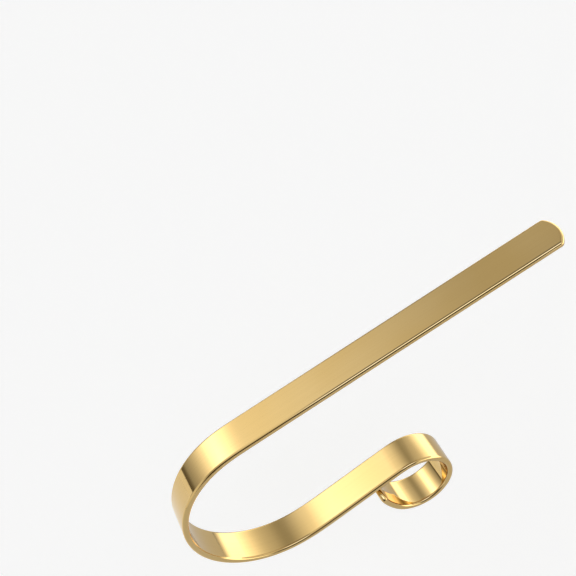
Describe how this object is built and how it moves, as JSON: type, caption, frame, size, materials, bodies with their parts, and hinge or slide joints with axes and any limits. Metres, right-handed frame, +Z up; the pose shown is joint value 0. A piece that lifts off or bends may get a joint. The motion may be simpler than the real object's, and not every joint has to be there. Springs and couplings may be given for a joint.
{
  "type": "mantel stocking holder",
  "caption": "Flat bar bent into a long arm that lies on a mantel, a C bend round the mantel's front edge and a curled loop below that holds a stocking's hanging loop.",
  "frame": {"origin": "middle of the arm's underside, the face that lies on the mantel", "axes": "+X along the arm towards its tip, +Y across the bar, +Z up as in use, with the loop hanging below"},
  "size_m": [0.156, 0.0126, 0.0879],
  "materials": {
    "gold_finish": "polished, mirror-bright gold"
  },
  "bodies": {
    "root": {"holder": "gold_finish"}
  },
  "joints": []
}
